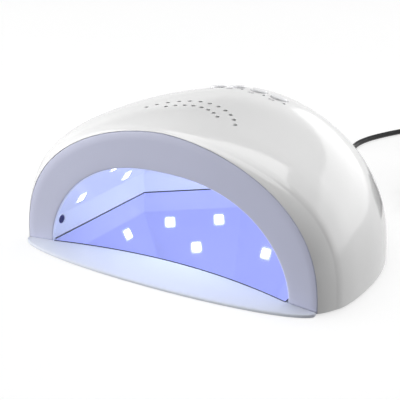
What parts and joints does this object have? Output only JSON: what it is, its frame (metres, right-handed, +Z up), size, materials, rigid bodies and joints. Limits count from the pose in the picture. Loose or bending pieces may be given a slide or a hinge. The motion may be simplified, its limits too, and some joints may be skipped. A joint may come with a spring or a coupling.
{
  "type": "uv curing lamp",
  "caption": "Arched desktop UV curing lamp with a faceted LED cavity, slide-out mirrored base tray, timer push buttons and a low-voltage lead to a wall adapter.",
  "frame": {"origin": "on the table, under the middle of the lamp's own outline (the lead, its coil and the adapter left out)", "axes": "+Z up, -Y out of the hand opening, +X to the right when facing the rear from the opening"},
  "size_m": [0.203, 0.3152, 0.0866],
  "materials": {
    "shell_white": "glossy moulded white",
    "bezel_satin": "satin moulded, pale lilac grey",
    "liner_white": "reflective white lining",
    "frame_white": "moulded white underside",
    "tray_white": "semi-gloss moulded white",
    "mirror_steel": "polished steel sheet",
    "led_glow": "lit clear lens",
    "led_chip": "phosphor package",
    "board_white": "white solder mask",
    "board_green": "green solder mask",
    "ir_dark": "dark infrared-pass resin",
    "component_black": "moulded component body",
    "capacitor_can": "sleeved can",
    "spacer_nylon": "natural nylon",
    "screw_steel": "zinc plated",
    "magnet_nickel": "nickel plated",
    "button_white": "glossy white key",
    "light_pipe": "smoked clear rod",
    "wire_red": "soft insulated wire",
    "wire_white": "soft insulated wire",
    "foot_rubber": "soft rubber",
    "contact_brass": "plated brass",
    "plug_nickel": "nickel plated",
    "cord_black": "soft black jacket",
    "adapter_black": "fine spark texture"
  },
  "bodies": {
    "housing": {"upper_shell": "shell_white", "front_bezel": "bezel_satin", "bottom_frame": "frame_white", "reflector_liner": "liner_white", "led_board_left": "board_white", "led_board_right": "board_white", "led_board_rear_left": "board_white", "led_board_rear_right": "board_white", "led_board_rear": "board_white", "led_board_top": "board_white", "led_chips": "led_chip", "led_lenses": "led_glow", "ir_emitter": "ir_dark", "ir_receiver": "ir_dark", "control_board": "board_green", "board_spacers": "spacer_nylon", "board_screws": "screw_steel", "control_chip": "component_black", "power_inductor": "component_black", "smoothing_capacitors": "capacitor_can", "switch_bodies": "component_black", "indicator_light_pipes": "light_pipe", "dc_jack": "component_black", "jack_centre_pin": "contact_brass", "power_wires": "wire_red", "board_jumper_wires": "wire_white", "case_screws": "screw_steel", "liner_screws": "screw_steel", "rubber_feet": "foot_rubber", "frame_magnets": "magnet_nickel"},
    "tray": {"base_tray": "tray_white", "mirror_plate": "mirror_steel", "tray_magnets": "magnet_nickel"},
    "button_1": {"timer_button_1": "button_white", "switch_plunger_1": "spacer_nylon"},
    "button_2": {"timer_button_2": "button_white", "switch_plunger_2": "spacer_nylon"},
    "button_3": {"timer_button_3": "button_white", "switch_plunger_3": "spacer_nylon"},
    "button_4": {"timer_button_4": "button_white", "switch_plunger_4": "spacer_nylon"},
    "power_lead": {"plug_barrel": "plug_nickel", "plug_grip": "cord_black", "plug_strain_relief": "cord_black", "dc_cord": "cord_black", "cord_coil": "cord_black", "cord_tie": "component_black", "dc_cord_tail": "cord_black", "adapter_strain_relief": "cord_black", "adapter_case_front": "adapter_black", "adapter_case_back": "adapter_black", "adapter_pins": "plug_nickel", "adapter_screws": "screw_steel"}
  },
  "joints": [
    {"name": "tray_slide", "type": "slide", "parent": "housing", "child": "tray", "axis": [0, -1, 0], "range_m": [0, 0.15]},
    {"name": "button_1_press", "type": "slide", "parent": "housing", "child": "button_1", "axis": [0, 0, -1], "range_m": [0, 0.0008], "stiffness_N_per_m": 1500, "springref_m": -0.0004},
    {"name": "button_2_press", "type": "slide", "parent": "housing", "child": "button_2", "axis": [0, 0, -1], "range_m": [0, 0.0008], "stiffness_N_per_m": 1500, "springref_m": -0.0004},
    {"name": "button_3_press", "type": "slide", "parent": "housing", "child": "button_3", "axis": [0, 0, -1], "range_m": [0, 0.0008], "stiffness_N_per_m": 1500, "springref_m": -0.0004},
    {"name": "button_4_press", "type": "slide", "parent": "housing", "child": "button_4", "axis": [0, 0, -1], "range_m": [0, 0.0008], "stiffness_N_per_m": 1500, "springref_m": -0.0004},
    {"name": "plug_pull", "type": "slide", "parent": "housing", "child": "power_lead", "axis": [0, 1, 0], "range_m": [0, 0.014]}
  ]
}
